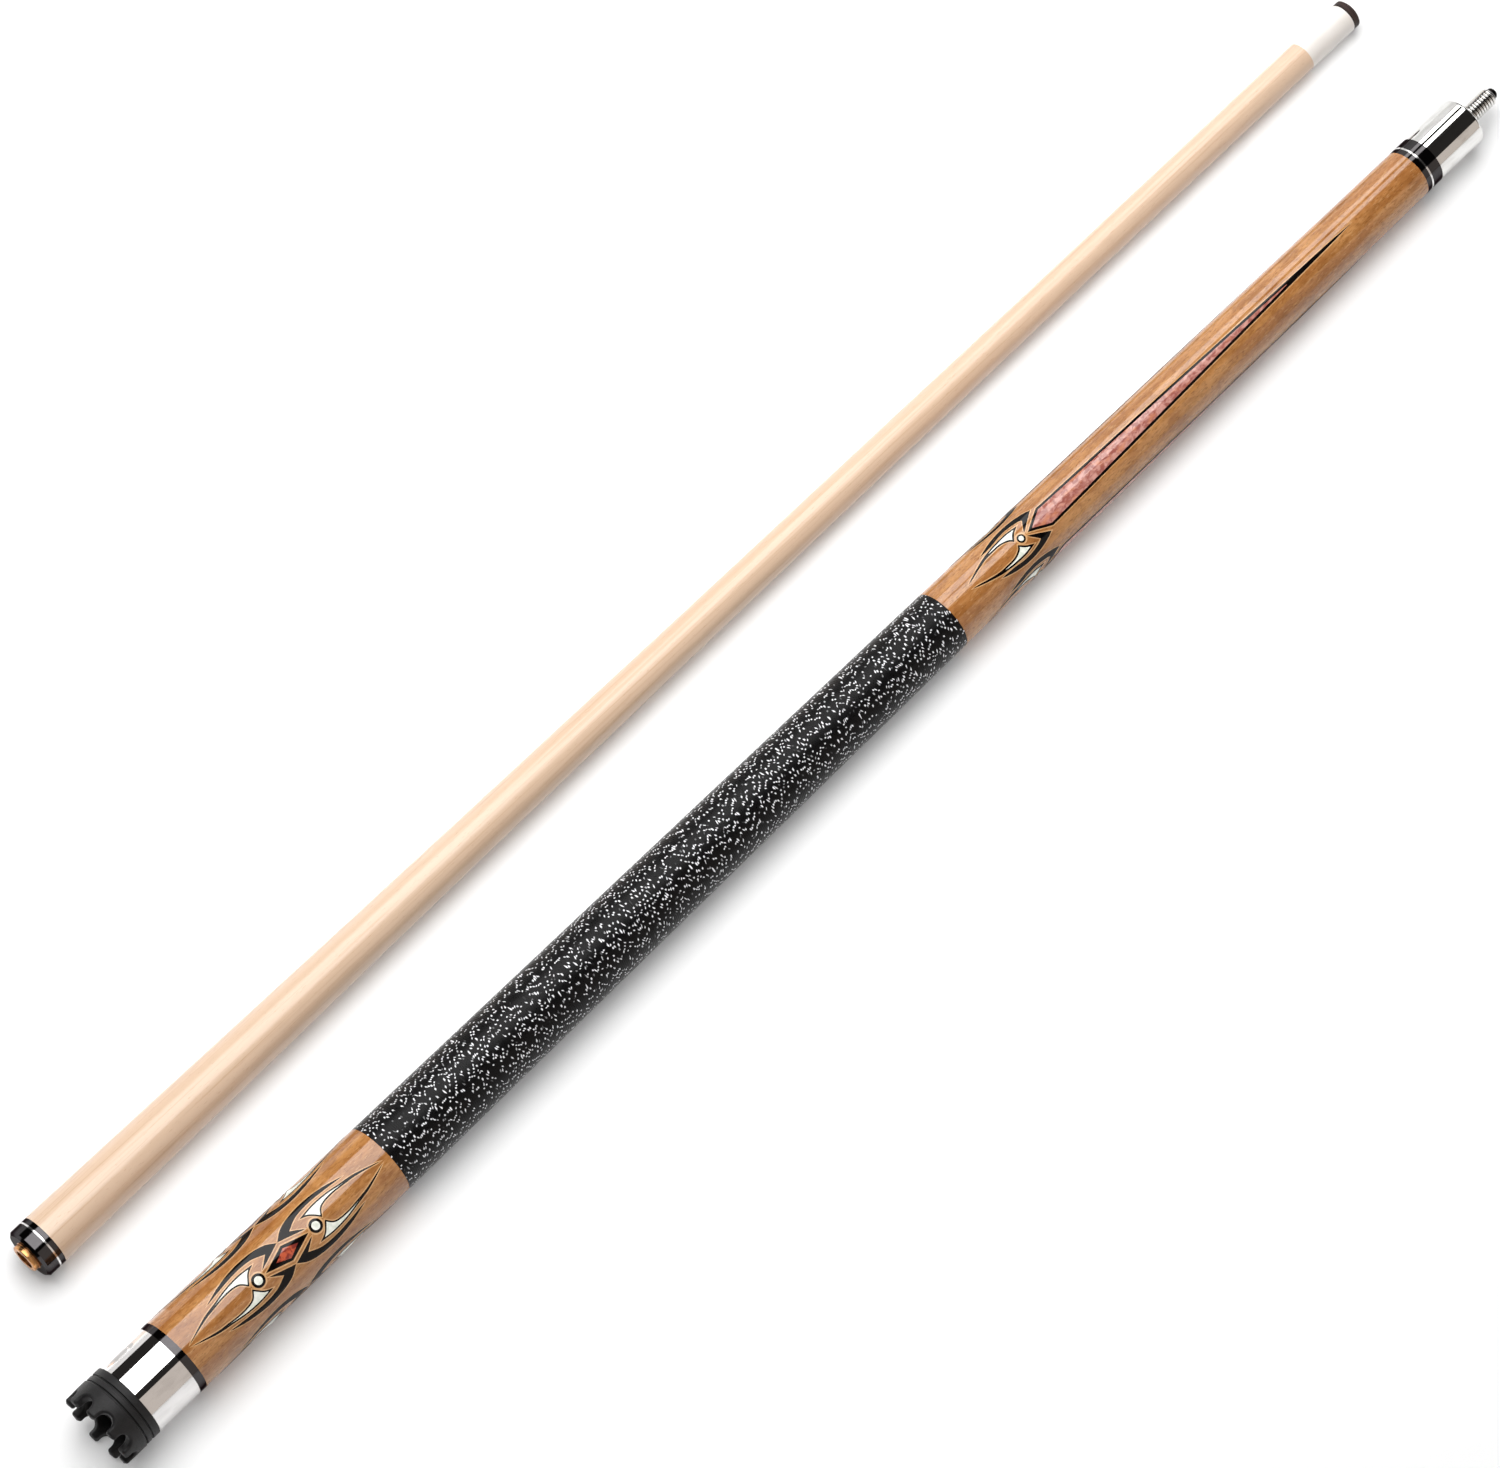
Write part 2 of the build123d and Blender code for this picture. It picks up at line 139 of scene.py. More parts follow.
# ---- Printed figures: stations and sizes, with turns in degrees; each repeats round the butt ----
REPEATS = 4
FOREARM_CENTRE = -265.6
FOREARM_TURN = 9.5
FOREARM_CIRCLE = 1.8
FOREARM_RIM = 0.75
POINT_GAP = 4.2
POINT_TAIL = 9.3
POINT_TIP = -72.5
SLEEVE_CENTRE = -664.4
SLEEVE_TURN = 21.5
SLEEVE_CIRCLE = 2.7
SLEEVE_RIM = 1.05
CLAW_OFFSET = 14.6
DIAMOND_HALO = (12.4, 4.1)
DIAMOND_BLACK = (10.8, 3.5)
DIAMOND_RED = (5.5, 2.4)

# ---- Fineness of the printed outlines ----
PATCH_STEP = 0.9
EDGE_ROOM = 0.3
CURVE_STEPS = 6
CIRCLE_POINTS = 28
TOUCHING = 1e-4
MERGING = 1e-5
INSIDE_ONLY = 1
SHARPEST_CORNER = 0.4
OFFSET_SLACK = 0.93

# ---- Softbox and the flag under it; ahead runs along the softbox, and aside across it ----
KEY_RADIANCE = 4.0
KEY_TURN = math.radians(27.4)
KEY_HEIGHT = 1.2
KEY_AHEAD = 0.75
KEY_ASIDE = 0.315
KEY_LENGTH = 2.3
KEY_WIDTH = 1.2
FLAG_HEIGHT = 1.164
FLAG_ASIDE = 0.133
FLAG_WIDTH = 0.21
FLAG_NEAR = 0.72
FLAG_FAR = 1.6

# ---- Upright cards: a far wall and a near one, each tall on one side of its step ----
FAR_RADIANCE = 1.0
FAR_Y = 2.3
FAR_LEFT = -1.2
FAR_STEP = 0.85
FAR_RIGHT = 2.4
FAR_LOW_TOP = 0.67
FAR_TALL_TOP = 1.65
NEAR_RADIANCE = 0.65
NEAR_Y = -1.9
NEAR_LEFT = -1.2
NEAR_STEP = 0.45
NEAR_RIGHT = 2.2
NEAR_LOW_TOP = 1.5
NEAR_TALL_TOP = 2.8
DIVIDER_RADIANCE = 0.8
DIVIDER_Y = 0.002
DIVIDER_LEFT = -0.395
DIVIDER_RIGHT = -0.335
DIVIDER_TOP = 0.026

# ---- Rest of the stage ----
FILL_RADIANCE = 1.0
FILL_CENTRE = (-0.3, 0.4, 2.6)
FILL_SIZE = 3.2
DOWN = (0, 0, -1)
ROOM_RADIANCE = 0.025
ROOM_COLOUR = (1, 0.93, 0.88, 1)
FLOOR_GLOW = 0.2
FLOOR_REACH = 6.0

# ---- Camera; its lens and sensor are in mm ----
CAMERA_TARGET = Vector((-23.5, -10.5, 12.2)) * MM
CAMERA_AZIMUTH = math.radians(-136.65)
CAMERA_ELEVATION = math.radians(64.69)
CAMERA_DISTANCE = 2.277
CAMERA_LENS = 144
CAMERA_SENSOR = 36
CAMERA_CLIP = (0.05, 50)


def butt_radius(station):
    """Radius of the butt at a station, in mm."""
    t = (TAPER_FRONT - station) / (TAPER_FRONT - TAPER_BACK)
    t = min(max(t, 0), 1)
    return JOINT_RADIUS + (REAR_RADIUS - JOINT_RADIUS) * t + 4 * CROWN * t * (1 - t)


def butt_point(station, turn, radius):
    """A point near the butt in metres; turn is in radians from the top towards SIDE."""
    across = UP * math.cos(turn) + SIDE * math.sin(turn)
    return BUTT_ORIGIN + (FORWARD * station + across * radius) * MM


# ======================= Materials =======================


class Paint:
    """One node material, built step by step; lengths inside it are millimetres."""

    def __init__(self, name, origin=BUTT_ORIGIN):
        self.material = bpy.data.materials.new(name)
        self.material.use_nodes = True
        self.tree = self.material.node_tree
        self.tree.nodes.clear()
        self.shader = self.tree.nodes.new("ShaderNodeBsdfPrincipled")
        output = self.tree.nodes.new("ShaderNodeOutputMaterial")
        self.link(self.shader.outputs[0], output.inputs["Surface"])
        # The place on the object, turned into mm along, across and above the cue's axis.
        coordinates = self.tree.nodes.new("ShaderNodeTexCoord")
        mapping = self.tree.nodes.new("ShaderNodeMapping")
        mapping.vector_type = "TEXTURE"
        mapping.inputs["Location"].default_value = origin
        mapping.inputs["Rotation"].default_value = (0, TILT, 0)
        mapping.inputs["Scale"].default_value = (MM, MM, MM)
        self.link(coordinates.outputs["Object"], mapping.inputs["Vector"])
        self.place = mapping.outputs["Vector"]
        split = self.tree.nodes.new("ShaderNodeSeparateXYZ")
        self.link(self.place, split.inputs[0])
        self.along, self.across, self.height = split.outputs

    def link(self, source, target):
        """Joins two sockets, or sets the target where source is a plain value."""
        if isinstance(source, bpy.types.NodeSocket):
            self.tree.links.new(source, target)
        else:
            target.default_value = source

    def math(self, operation, first, second=0.0, third=0.0):
        """One Math node."""
        node = self.tree.nodes.new("ShaderNodeMath")
        node.operation = operation
        for value, socket in zip((first, second, third), node.inputs):
            self.link(value, socket)
        return node.outputs[0]

    def stretch(self, scale, shift=(0, 0, 0)):
        """The place, scaled per axis, so that noise on it runs along the cue."""
        node = self.tree.nodes.new("ShaderNodeMapping")
        node.inputs["Scale"].default_value = scale
        node.inputs["Location"].default_value = shift
        self.link(self.place, node.inputs["Vector"])
        return node.outputs["Vector"]

    def noise(self, vector, scale, detail, distortion=0.0):
        """Noise between 0 and 1."""
        node = self.tree.nodes.new("ShaderNodeTexNoise")
        self.link(vector, node.inputs["Vector"])
        node.inputs["Scale"].default_value = scale
        node.inputs["Detail"].default_value = detail
        node.inputs["Distortion"].default_value = distortion
        return node.outputs["Fac"]

    def chance(self, first, second):
        """A random value between 0 and 1 for each pair of whole numbers."""
        pair = self.tree.nodes.new("ShaderNodeCombineXYZ")
        self.link(first, pair.inputs[0])
        self.link(second, pair.inputs[1])
        node = self.tree.nodes.new("ShaderNodeTexWhiteNoise")
        node.noise_dimensions = "3D"
        self.link(pair.outputs[0], node.inputs["Vector"])
        return node.outputs["Value"]

    def remap(self, value, low, high, to_low=0.0, to_high=1.0):
        """Smooth step from low to high, clamped, then scaled to another range."""
        node = self.tree.nodes.new("ShaderNodeMapRange")
        node.interpolation_type = "SMOOTHSTEP"
        self.link(value, node.inputs["Value"])
        node.inputs["From Min"].default_value = low
        node.inputs["From Max"].default_value = high
        node.inputs["To Min"].default_value = to_low
        node.inputs["To Max"].default_value = to_high
        return node.outputs["Result"]

    def blend(self, factor, first, second):
        """Mixes two colours."""
        node = self.tree.nodes.new("ShaderNodeMix")
        node.data_type = "RGBA"
        self.link(factor, node.inputs["Factor"])
        self.link(first, node.inputs[6])
        self.link(second, node.inputs[7])
        return node.outputs[2]

    def set(self, **values):
        """Sets or links shader inputs; underscores stand for spaces."""
        for name, value in values.items():
            self.link(value, self.shader.inputs[name.replace("_", " ")])

    def roughen(self, pattern, low, high):
        """Roughness from low to high, following a noise pattern."""
        self.set(Roughness=self.remap(pattern, 0.3, 0.7, low, high))

    def bump(self, height, distance, strength):
        """Raises the surface by height, over a distance in mm."""
        node = self.tree.nodes.new("ShaderNodeBump")
        node.inputs["Distance"].default_value = distance * MM
        node.inputs["Strength"].default_value = strength
        self.link(height, node.inputs["Height"])
        self.link(node.outputs["Normal"], self.shader.inputs["Normal"])

    def lacquer(self, weight=1.0):
        """The clear gloss coat over the wood and its transfers."""
        self.set(Coat_Weight=weight, Coat_Roughness=0.07, Coat_IOR=1.6)
        self.set(Specular_IOR_Level=0.0)


def rgb(red, green, blue):
    """A linear colour from 0-255 display values."""

    def linear(value):
        """One channel, without its display curve."""
        value = value / 255
        return value / 12.92 if value <= 0.04045 else ((value + 0.055) / 1.055) ** 2.4

    return (linear(red), linear(green), linear(blue), 1.0)


def butt_wood():
    """Stained figured wood: soft warm bands, fine mottling and short dark pores."""
    paint = Paint("butt_wood")
    bands = paint.noise(paint.stretch((0.016, 0.2, 0.2)), 1, 3, 0.6)
    colour = paint.blend(paint.remap(bands, 0.35, 0.68), rgb(192, 137, 82), rgb(168, 110, 59))
    blotch = paint.noise(paint.stretch((0.09, 0.16, 0.16), (7, 3, 1)), 1, 3)
    colour = paint.blend(paint.remap(blotch, 0.44, 0.68, 0, 0.6), colour, rgb(143, 89, 44))
    mottle = paint.noise(paint.stretch((0.38, 1.1, 1.1)), 1, 3)
    colour = paint.blend(paint.remap(mottle, 0.45, 0.7, 0, 0.5), colour, rgb(141, 88, 43))
    light = paint.noise(paint.stretch((0.3, 1.3, 1.3), (4, 8, 2)), 1, 2)
    colour = paint.blend(paint.remap(light, 0.55, 0.75, 0, 0.4), colour, rgb(209, 164, 113))
    pores = paint.noise(paint.stretch((0.5, 3.0, 3.0)), 1, 2)
    colour = paint.blend(paint.remap(pores, 0.58, 0.7, 0, 0.6), colour, rgb(104, 60, 27))
    paint.set(Base_Color=colour)
    paint.roughen(mottle, 0.36, 0.5)
    paint.bump(pores, 0.03, 0.25)
    paint.lacquer()
    return paint.material


def maple():
    """Pale close-grained shaft wood with faint straight lines and tiny flecks."""
    paint = Paint("maple", SHAFT_ORIGIN)
    drift = paint.noise(paint.stretch((0.006, 0.12, 0.12)), 1, 2)
    colour = paint.blend(drift, rgb(223, 196, 171), rgb(214, 181, 151))
    lines = paint.noise(paint.stretch((0.008, 1.1, 1.1)), 1, 4, 0.4)
    colour = paint.blend(paint.remap(lines, 0.5, 0.72, 0, 0.55), colour, rgb(200, 163, 129))
    flecks = paint.noise(paint.stretch((0.35, 3.2, 3.2)), 1, 2)
    colour = paint.blend(paint.remap(flecks, 0.62, 0.74, 0, 0.4), colour, rgb(185, 142, 103))
    paint.set(Base_Color=colour)
    paint.roughen(lines, 0.3, 0.42)
    paint.bump(flecks, 0.02, 0.2)
    paint.set(Coat_Weight=0.5, Coat_Roughness=0.14, Coat_IOR=1.5)
    return paint.material


def core_wood():
    """Plain unfinished wood of the handle core."""
    paint = Paint("core_wood")
    grain = paint.noise(paint.stretch((0.02, 0.9, 0.9)), 1, 4)
    colour = paint.blend(paint.remap(grain, 0.35, 0.7), rgb(214, 180, 138), rgb(184, 144, 98))
    paint.set(Base_Color=colour, Roughness=0.7)
    paint.bump(grain, 0.05, 0.4)
    return paint.material


def tip_leather():
    """Dark pressed leather in thin layers, with a burnished black side."""
    paint = Paint("tip_leather", SHAFT_ORIGIN)
    layers = paint.noise(paint.stretch((2.2, 0.1, 0.1)), 1, 3)
    fibre = paint.noise(paint.place, 2.2, 4)
    colour = paint.blend(paint.remap(layers, 0.35, 0.65), rgb(58, 42, 38), rgb(30, 22, 21))
    colour = paint.blend(paint.remap(fibre, 0.55, 0.75, 0, 0.5), colour, rgb(82, 63, 56))
    paint.set(Base_Color=colour, Specular_IOR_Level=0.3)
    paint.roughen(fibre, 0.55, 0.8)
    paint.bump(fibre, 0.06, 0.6)
    return paint.material


def ferrule_white():
    """Warm white moulded ferrule, lightly polished."""
    paint = Paint("ferrule_white", SHAFT_ORIGIN)
    cloud = paint.noise(paint.stretch((0.1, 0.2, 0.2)), 1, 3)
    turned = paint.noise(paint.stretch((6, 0.05, 0.05)), 1, 2)
    colour = paint.blend(cloud, rgb(236, 231, 226), rgb(227, 220, 212))
    paint.set(Base_Color=colour, Coat_Weight=0.4, Coat_Roughness=0.12)
    paint.roughen(turned, 0.28, 0.38)
    paint.bump(turned, 0.01, 0.25)
    return paint.material


def ring_black():
    """Polished black rings with faint turning marks.

    They are shaded as a very dark metal, whose mirror strength stays even from the middle to
    the edge. A clear coat would turn the sides of the rings grey.
    """
    paint = Paint("ring_black")
    turned = paint.noise(paint.stretch((7, 0.04, 0.04)), 1, 2)
    cloud = paint.noise(paint.place, 0.5, 3)
    colour = paint.blend(cloud, rgb(76, 74, 75), rgb(66, 64, 65))
    paint.set(Base_Color=colour, Metallic=1.0, Specular_Tint=rgb(150, 148, 148))
    paint.roughen(turned, 0.05, 0.1)
    paint.bump(turned, 0.004, 0.2)
    return paint.material


def metal(name, bright, dull, rough_low, rough_high, marks=0.004, origin=BUTT_ORIGIN):
    """Turned and polished metal: fine rings round it and a little uneven polish."""
    paint = Paint(name, origin)
    turned = paint.noise(paint.stretch((9, 0.03, 0.03)), 1, 2)
    cloud = paint.noise(paint.stretch((0.12, 0.3, 0.3)), 1, 4)
    colour = paint.blend(paint.remap(cloud, 0.4, 0.75), bright, dull)
    polish = paint.math("MULTIPLY", paint.math("ADD", turned, cloud), 0.5)
    rough = paint.remap(polish, 0.35, 0.65, rough_low, rough_high)
    paint.set(Base_Color=colour, Metallic=1.0, Roughness=rough)
    paint.bump(turned, marks, 0.3)
    return paint.material


def pin_steel():
    """Bright rolled thread of the joint pin, with painted shade darkening the grooves and the
    nose.
    """
    paint = Paint("pin_steel")
    across_squared = paint.math("POWER", paint.across, 2)
    height_squared = paint.math("POWER", paint.height, 2)
    radius = paint.math("SQRT", paint.math("ADD", across_squared, height_squared))
    cloud = paint.noise(paint.place, 0.8, 3)
    # Painted shade: the colour falls to near black where the radius drops into the thread grooves,
    # and on the thinner nose; the crests keep the bare steel colour.
    unshaded_share = paint.remap(radius, PIN_GROOVE_SHADE_RADIUS, PIN_UNSHADED_RADIUS)
    bright = paint.blend(cloud, rgb(238, 237, 235), rgb(206, 204, 201))
    colour = paint.blend(unshaded_share, rgb(30, 27, 25), bright)
    paint.set(Base_Color=colour, Metallic=1.0)
    paint.roughen(cloud, 0.1, 0.18)
    return paint.material


def bumper_rubber():
    """Matt black moulded rubber, slightly greyed where it is handled."""
    paint = Paint("bumper_rubber")
    grain = paint.noise(paint.place, 3.2, 4)
    smear = paint.noise(paint.place, 0.16, 3)
    colour = paint.blend(paint.remap(smear, 0.4, 0.7), rgb(12, 11, 12), rgb(23, 21, 22))
    paint.set(Base_Color=colour, Specular_IOR_Level=0.4)
    paint.roughen(grain, 0.5, 0.68)
    paint.bump(grain, 0.05, 0.35)
    return paint.material


def linen_wrap():
    """Black waxed linen thread with short white flecks dyed along it."""
    paint = Paint("linen_wrap")
    angle = paint.math("ARCTAN2", paint.across, paint.height)
    turn = paint.math("ADD", paint.math("MULTIPLY", angle, 0.5 / math.pi), 0.5)
    rows = paint.math("SUBTRACT", paint.math("DIVIDE", paint.along, THREAD_PITCH), turn)
    row = paint.math("FLOOR", rows)
    beside = paint.math("ABSOLUTE", paint.math("SUBTRACT", paint.math("FRACT", rows), 0.5))
    wound = paint.math("ADD", row, turn)
    # Length of thread wound so far: the radius falls evenly towards the front of the wrap.
    slope = (butt_radius(WRAP_FRONT) - butt_radius(WRAP_BACK)) / (WRAP_FRONT - WRAP_BACK)
    flat_turn = 2 * math.pi * (butt_radius(WRAP_FRONT) - slope * WRAP_FRONT)
    growth = math.pi * slope * THREAD_PITCH
    length = paint.math("MULTIPLY", wound, paint.math("MULTIPLY_ADD", wound, growth, flat_turn))
    wander = paint.noise(paint.stretch((0.3, 0.12, 0.12)), 1, 2)
    length = paint.math("ADD", length, paint.math("MULTIPLY", wander, FLECK_WANDER))
    beats = paint.math("DIVIDE", length, FLECK_SPACING)
    beat = paint.math("FLOOR", beats)
    # Each beat of the dyed thread holds one fleck, scattered a little along it.
    scatter = paint.chance(row, beat)
    middle = paint.math("MULTIPLY_ADD", scatter, FLECK_SCATTER, 0.5 - FLECK_SCATTER / 2)
    ahead = paint.math("ABSOLUTE", paint.math("SUBTRACT", paint.math("FRACT", beats), middle))
    half_length = FLECK_LENGTH / FLECK_SPACING / 2
    fleck_end = paint.remap(ahead, half_length * FLECK_END_FROM, half_length * FLECK_END_TO, 1, 0)
    fleck_side = paint.remap(beside, FLECK_SIDE_FROM, FLECK_SIDE_TO, 1, 0)
    kept = paint.remap(paint.chance(beat, row), DROPPED_BELOW, KEPT_ABOVE)
    fleck = paint.math("MULTIPLY", paint.math("MULTIPLY", fleck_end, fleck_side), kept)
    lint = paint.noise(paint.place, 2.6, 3)
    cotton = paint.blend(paint.remap(lint, 0.35, 0.7), rgb(3, 3, 3), rgb(12, 11, 13))
    colour = paint.blend(fleck, cotton, rgb(243, 243, 246))
    paint.set(Base_Color=colour, Specular_IOR_Level=0.14)
    paint.set(Sheen_Weight=0.02, Sheen_Roughness=0.5)
    paint.roughen(lint, 0.26, 0.36)
    paint.bump(lint, 0.05, 0.5)
    return paint.material


def ink(name, light, dark, gloss=1.0):
    """Printed ink under the lacquer, with a little unevenness of the print."""
    paint = Paint(name)
    cloud = paint.noise(paint.place, 0.5, 4)
    colour = paint.blend(paint.remap(cloud, 0.38, 0.66), light, dark)
    paint.set(Base_Color=colour)
    paint.roughen(cloud, 0.36, 0.5)
    paint.lacquer(gloss)
    return paint.material


def rose_ink():
    """Mottled rose print of the points, with orange and grey-pink patches."""
    paint = Paint("rose_ink")
    mottle = paint.noise(paint.stretch((0.35, 0.55, 0.55)), 1, 4, 0.8)
    colour = paint.blend(paint.remap(mottle, 0.36, 0.62), rgb(202, 148, 136), rgb(154, 88, 78))
    warm = paint.noise(paint.stretch((0.18, 0.4, 0.4), (9, 2, 4)), 1, 3)
    colour = paint.blend(paint.remap(warm, 0.5, 0.7, 0, 0.7), colour, rgb(204, 132, 96))
    paint.set(Base_Color=colour)
    paint.roughen(mottle, 0.36, 0.5)
    paint.lacquer()
    return paint.material


def red_ink():
    """Mottled brick-red print of the diamonds."""
    paint = Paint("red_ink")
    mottle = paint.noise(paint.place, 0.6, 4, 0.8)
    colour = paint.blend(paint.remap(mottle, 0.38, 0.62), rgb(196, 92, 62), rgb(128, 50, 42))
    paint.set(Base_Color=colour)
    paint.roughen(mottle, 0.36, 0.5)
    paint.lacquer()
    return paint.material


def paint_nodes():
    """Gives every CAD node the finished material of its slot."""
    steel = rgb(232, 231, 230)
    grey_steel = rgb(188, 186, 184)
    brass = rgb(222, 164, 106)
    dull_brass = rgb(170, 108, 62)
    slot_materials = {
        "tip_leather": tip_leather(),
        "ferrule_white": ferrule_white(),
        "maple": maple(),
        "butt_wood": butt_wood(),
        "core_wood": core_wood(),
        "ring_black": ring_black(),
        "ring_silver": metal("ring_silver", steel, grey_steel, 0.12, 0.24),
        "brass": metal("brass", brass, dull_brass, 0.24, 0.38, 0.01, SHAFT_ORIGIN),
        "pin_steel": pin_steel(),
        "collar_steel": metal("collar_steel", rgb(224, 223, 221), rgb(208, 206, 203), 0.03, 0.08),
        "hidden_steel": metal("hidden_steel", grey_steel, rgb(140, 138, 136), 0.3, 0.45),
        "cap_chrome": metal("cap_chrome", rgb(225, 223, 222), rgb(213, 211, 210), 0.02, 0.06),
        "bumper_rubber": bumper_rubber(),
        "linen_wrap": linen_wrap(),
    }
    for node in frame["nodes"].values():
        for slot in node.material_slots:
            slot.material = slot_materials[slot.material.name]
    return slot_materials


# ======================= Pieces =======================


def add_piece(name, points, faces, material, body="butt"):
    """A smooth mesh piece in metres, riding on a body."""
    mesh = bpy.data.meshes.new(name)
    mesh.from_pydata(points, [], faces)
    mesh.materials.append(material)
    mesh.polygons.foreach_set("use_smooth", [True] * len(mesh.polygons))
    mesh.update()
    piece = bpy.data.objects.new(name, mesh)
    bpy.context.scene.collection.objects.link(piece)
    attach(piece, body)
    return piece


def make_turned(name, stations, segments, radius_at, material):
    """A skin turned about the butt's axis; radius_at gives its radius at each station and turn."""
    turns = [2 * math.pi * i / segments - math.pi for i in range(segments)]
    points = []
    for station in stations:
        for turn in turns:
            points.append(butt_point(station, turn, radius_at(station, turn)))
    faces = []
    for ring in range(len(stations) - 1):
        start = ring * segments
        for i in range(segments):
            after = (i + 1) % segments
            above = start + segments
            faces.append((start + i, start + after, above + after, above + i))
    # Flat ends.
    last = len(points) - segments
    faces.append(tuple(range(last, last + segments)))
    faces.append(tuple(range(segments))[::-1])
    return add_piece(name, points, faces, material)


def winding_radius(station, turn):
    """One thread wound side by side, as a ridge that climbs a pitch each turn."""
    share = 0.5 - turn / (2 * math.pi)
    ridge = abs(math.sin(math.pi * (station / THREAD_PITCH - share)))
    return butt_radius(station) - THREAD_RELIEF * (1 - ridge)


def make_winding(material):
    """The wrap, from its back edge to its front edge."""
    rings = int((WRAP_FRONT - WRAP_BACK) / THREAD_PITCH * RINGS_PER_TURN)
    stations = np.linspace(WRAP_BACK, WRAP_FRONT, rings + 1)
    piece = make_turned(
        "wrap_winding", stations, WRAP_SEGMENTS, winding_radius, material
    )
    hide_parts("wrap")


def pin_radius(station, turn):
    """Radius of the joint pin: plain shank, right-hand thread with rounded crests, smooth nose."""
    if station < PIN_THREAD_BACK:
        return PIN_SHANK_RADIUS
    if station > PIN_THREAD_FRONT:
        into = max(PIN_NOSE_ROUND - (PIN_FRONT - station), 0)
        return PIN_NOSE_RADIUS - PIN_NOSE_ROUND + math.sqrt(PIN_NOSE_ROUND**2 - into**2)
    ridge = abs(math.sin(math.pi * station / PIN_PITCH - turn / 2))
    radius = PIN_ROOT_RADIUS + (PIN_CREST_RADIUS - PIN_ROOT_RADIUS) * ridge
    # The thread runs out in a cone towards the nose.
    to_end = (PIN_THREAD_FRONT - station) / PIN_LEAD_IN
    return min(radius, PIN_NOSE_RADIUS + (PIN_CONE_RADIUS - PIN_NOSE_RADIUS) * to_end)


def make_pin(material):
    """The joint pin with a rolled thread."""
    rings = int((PIN_THREAD_FRONT - PIN_THREAD_BACK) / PIN_PITCH * PIN_RINGS_PER_TURN)
    thread = np.linspace(PIN_THREAD_BACK, PIN_THREAD_FRONT, rings)
    nose = np.linspace(PIN_NOSE_BACK, PIN_FRONT, PIN_NOSE_RINGS)
    stations = [PIN_BACK, PIN_SHANK_FRONT, *thread, *nose]
    piece = make_turned("pin_thread", stations, PIN_SEGMENTS, pin_radius, material)
    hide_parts("joint_pin")


def curve_through(points):
    """A Catmull-Rom curve through (length, side) points; two points give a straight run."""
    control = [Vector(point) for point in points]
    if len(control) == 2:
        parts = max(1, round((control[1] - control[0]).length / PATCH_STEP))
        return [control[0].lerp(control[1], part / parts) for part in range(parts + 1)]
    control = [control[0] * 2 - control[1], *control, control[-1] * 2 - control[-2]]
    curve = []
    for a, b, c, d in zip(control, control[1:], control[2:], control[3:]):
        for step in range(CURVE_STEPS):
            t = step / CURVE_STEPS
            curve.append(
                (2 * b + (c - a) * t + (2 * a - 5 * b + 4 * c - d) * t**2
                 + (3 * b - a - 3 * c + d) * t**3) / 2
            )
    return curve + [control[-2]]


def outline(*runs):
    """A closed outline: each run is a smooth curve, and runs meet in corners."""
    points = []
    for run in runs:
        for point in curve_through(run):
            if not points or (point - points[-1]).length > TOUCHING:
                points.append(point)
    if (points[0] - points[-1]).length < TOUCHING:
        points.pop()
    return points


def circle(radius):
    """A round outline about (0, 0)."""
    angles = [2 * math.pi * i / CIRCLE_POINTS for i in range(CIRCLE_POINTS)]
    return [Vector((radius * math.cos(a), radius * math.sin(a))) for a in angles]


def signed_area(points):
    """Twice the area, positive anticlockwise."""
    pairs = zip(points, points[1:] + points[:1])
    return sum(a.x * b.y - b.x * a.y for a, b in pairs)


def distance_to(points, spot):
    """Shortest distance from a spot to a closed outline."""
    best = math.inf
    for a, b in zip(points, points[1:] + points[:1]):
        edge = b - a
        t = min(max((spot - a).dot(edge) / edge.length_squared, 0), 1)
        best = min(best, (a + edge * t - spot).length)
    return best


def offset(points, distance):
    """The outline grown by a distance in mm, or shrunk where it is negative."""
    side = 1 if signed_area(points) > 0 else -1
    grown = []
    for before, here, after in zip(points[-1:] + points[:-1], points, points[1:] + points[:1]):
        normals = []
        for edge in (here - before, after - here):
            edge = edge.normalized()
            normals.append(Vector((edge.y, -edge.x)) * side)
        mean = (normals[0] + normals[1]).normalized()
        reach = distance / max(mean.dot(normals[0]), SHARPEST_CORNER)
        spot = here + mean * reach
        # A spot that comes too near another side of the outline is left out.
        if distance_to(points, spot) > abs(distance) * OFFSET_SLACK:
            grown.append(spot)
    return grown


def fill(points):
    """Fine triangles inside an outline, so that it can bend round the cue."""
    low = Vector((min(p.x for p in points), min(p.y for p in points)))
    high = Vector((max(p.x for p in points), max(p.y for p in points)))
    spots = list(points)
    count = len(points)
    for i in range(1, int((high.x - low.x) / PATCH_STEP / 2) + 1):
        for j in range(1, int((high.y - low.y) / PATCH_STEP) + 1):
            spot = low + Vector((i * PATCH_STEP * 2, j * PATCH_STEP))
            if distance_to(points, spot) > EDGE_ROOM * PATCH_STEP:
                spots.append(spot)
    edges = [(i, (i + 1) % count) for i in range(count)]
    made = delaunay_2d_cdt(spots, edges, [list(range(count))], INSIDE_ONLY, MERGING)
    return made[0], made[2]


def mirrored(points):
    """The same outline on the other side of the figure's middle line."""
    return [Vector((p.x, -p.y)) for p in points]


